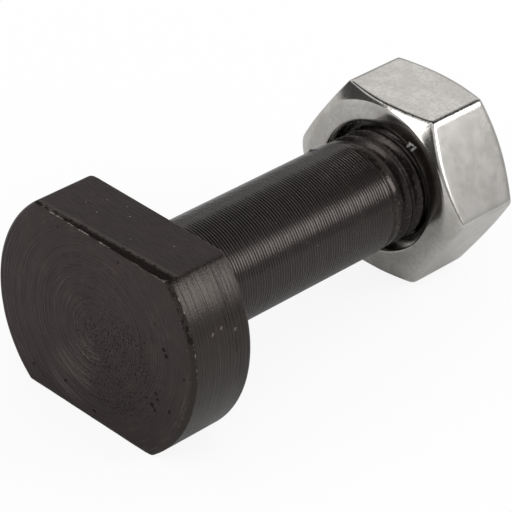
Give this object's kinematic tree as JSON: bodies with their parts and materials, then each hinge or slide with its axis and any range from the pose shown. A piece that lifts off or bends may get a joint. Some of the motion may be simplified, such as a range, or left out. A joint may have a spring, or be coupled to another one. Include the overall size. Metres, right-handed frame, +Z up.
{
  "type": "t slot bolt with hex nut",
  "caption": "Black turned T-slot bolt with a two-flat disc head and a bright hexagon nut on its threaded end.",
  "frame": {"origin": "on the surface that the bolt lies on, under the middle of its length", "axes": "+X along the bolt from the head to the nut, +Z up, square to the two flats of the head"},
  "size_m": [0.05, 0.0258, 0.0196],
  "materials": {
    "black_oxide_steel": "black oxide over fine turning marks, satin",
    "bright_zinc_plate": "bright zinc plate, slightly mottled"
  },
  "bodies": {
    "bolt": {"t_slot_bolt": "black_oxide_steel"},
    "nut": {"hex_nut": "bright_zinc_plate"}
  },
  "joints": [
    {"name": "nut_turn", "type": "hinge", "parent": "bolt", "child": "nut", "pos_m": [0.01883, 0, 0.01005], "axis": [1, 0, 0], "range_deg": [-630, 1800]}
  ]
}
